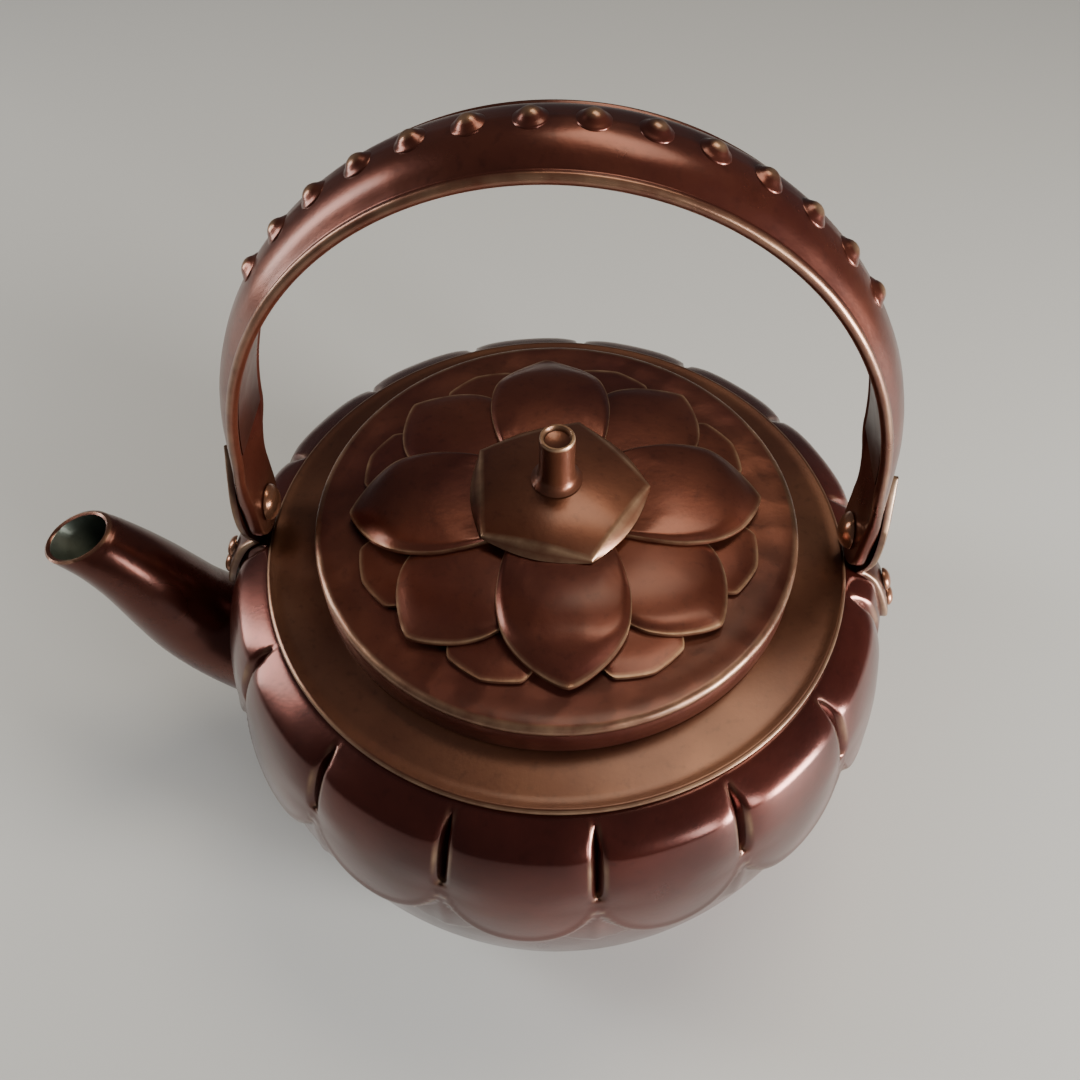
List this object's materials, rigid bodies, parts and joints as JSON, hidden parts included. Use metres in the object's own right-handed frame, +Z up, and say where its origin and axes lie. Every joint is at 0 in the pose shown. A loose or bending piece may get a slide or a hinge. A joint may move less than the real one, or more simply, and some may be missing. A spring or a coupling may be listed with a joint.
{
  "type": "kettle",
  "caption": "Round copper kettle with a lotus-petal body, a lotus-flower lid with a stalk knob, a short curved spout and a swinging arched bail handle with small thorns.",
  "frame": {"origin": "centre of the flat base, on the body's own axis", "axes": "+Z up along the body's axis, the spout points along -X, the bail swings about an axis parallel to X"},
  "size_m": [0.2376, 0.1835, 0.2337],
  "materials": {
    "mat_body": "dark red-brown patina over hammered copper, semi-gloss, chased lotus petals",
    "mat_shoulder": "dark red-brown patina, smooth semi-gloss sheet",
    "mat_spout": "dark red-brown patina outside, tinned grey inside",
    "mat_spout_collar": "dark patina",
    "mat_ear_left": "dark patina, filed edges",
    "mat_ear_right": "dark patina, filed edges",
    "mat_ear_rivet_left_1": "worn bright copper head",
    "mat_ear_rivet_left_2": "worn bright copper head",
    "mat_ear_rivet_right_1": "worn bright copper head",
    "mat_ear_rivet_right_2": "worn bright copper head",
    "mat_pivot_pin_left": "worn bright copper head",
    "mat_pivot_pin_right": "worn bright copper head",
    "mat_bail_crown": "dark red-brown patina, rolled bright-worn edges",
    "mat_bail_liner": "dark patina",
    "mat_thorn_01": "dark patina, point worn bright",
    "mat_thorn_02": "dark patina, point worn bright",
    "mat_thorn_03": "dark patina, point worn bright",
    "mat_thorn_04": "dark patina, point worn bright",
    "mat_thorn_05": "dark patina, point worn bright",
    "mat_thorn_06": "dark patina, point worn bright",
    "mat_thorn_07": "dark patina, point worn bright",
    "mat_thorn_08": "dark patina, point worn bright",
    "mat_thorn_09": "dark patina, point worn bright",
    "mat_thorn_10": "dark patina, point worn bright",
    "mat_thorn_11": "dark patina, point worn bright",
    "mat_thorn_12": "dark patina, point worn bright",
    "mat_thorn_13": "dark patina, point worn bright",
    "mat_thorn_14": "dark patina, point worn bright",
    "mat_lid_disc": "dark patina with faint hammer facets",
    "mat_lid_ring": "dark inside finish",
    "mat_petals_small": "dark patina, edges worn brighter",
    "mat_petals_lower": "dark patina, edges worn brighter",
    "mat_petals_upper": "dark patina, edges worn brighter",
    "mat_calyx_cap": "dark patina with an olive-gold sheen",
    "mat_stem_knob": "dark patina, rim worn bright",
    "mat_stem_washer": "dark patina"
  },
  "bodies": {
    "vessel": {"body_shell": "mat_body", "shoulder_plate": "mat_shoulder", "spout": "mat_spout", "spout_collar": "mat_spout_collar", "ear_left": "mat_ear_left", "ear_right": "mat_ear_right", "ear_rivet_left_1": "mat_ear_rivet_left_1", "ear_rivet_left_2": "mat_ear_rivet_left_2", "ear_rivet_right_1": "mat_ear_rivet_right_1", "ear_rivet_right_2": "mat_ear_rivet_right_2", "pivot_pin_left": "mat_pivot_pin_left", "pivot_pin_right": "mat_pivot_pin_right"},
    "bail": {"bail_crown": "mat_bail_crown", "bail_liner": "mat_bail_liner", "thorn_01": "mat_thorn_01", "thorn_02": "mat_thorn_02", "thorn_03": "mat_thorn_03", "thorn_04": "mat_thorn_04", "thorn_05": "mat_thorn_05", "thorn_06": "mat_thorn_06", "thorn_07": "mat_thorn_07", "thorn_08": "mat_thorn_08", "thorn_09": "mat_thorn_09", "thorn_10": "mat_thorn_10", "thorn_11": "mat_thorn_11", "thorn_12": "mat_thorn_12", "thorn_13": "mat_thorn_13", "thorn_14": "mat_thorn_14"},
    "lid": {"lid_disc": "mat_lid_disc", "lid_locating_ring": "mat_lid_ring", "petals_small": "mat_petals_small", "petals_lower": "mat_petals_lower", "petals_upper": "mat_petals_upper", "calyx_cap": "mat_calyx_cap", "stem_knob": "mat_stem_knob", "stem_washer": "mat_stem_washer"}
  },
  "joints": [
    {"name": "bail_swing", "type": "hinge", "parent": "vessel", "child": "bail", "pos_m": [0, 0, 0.1195], "axis": [1, 0, 0], "range_deg": [-90, 90]},
    {"name": "lid_lift", "type": "slide", "parent": "vessel", "child": "lid", "axis": [0, 0, 1], "range_m": [0, 0.045]}
  ]
}
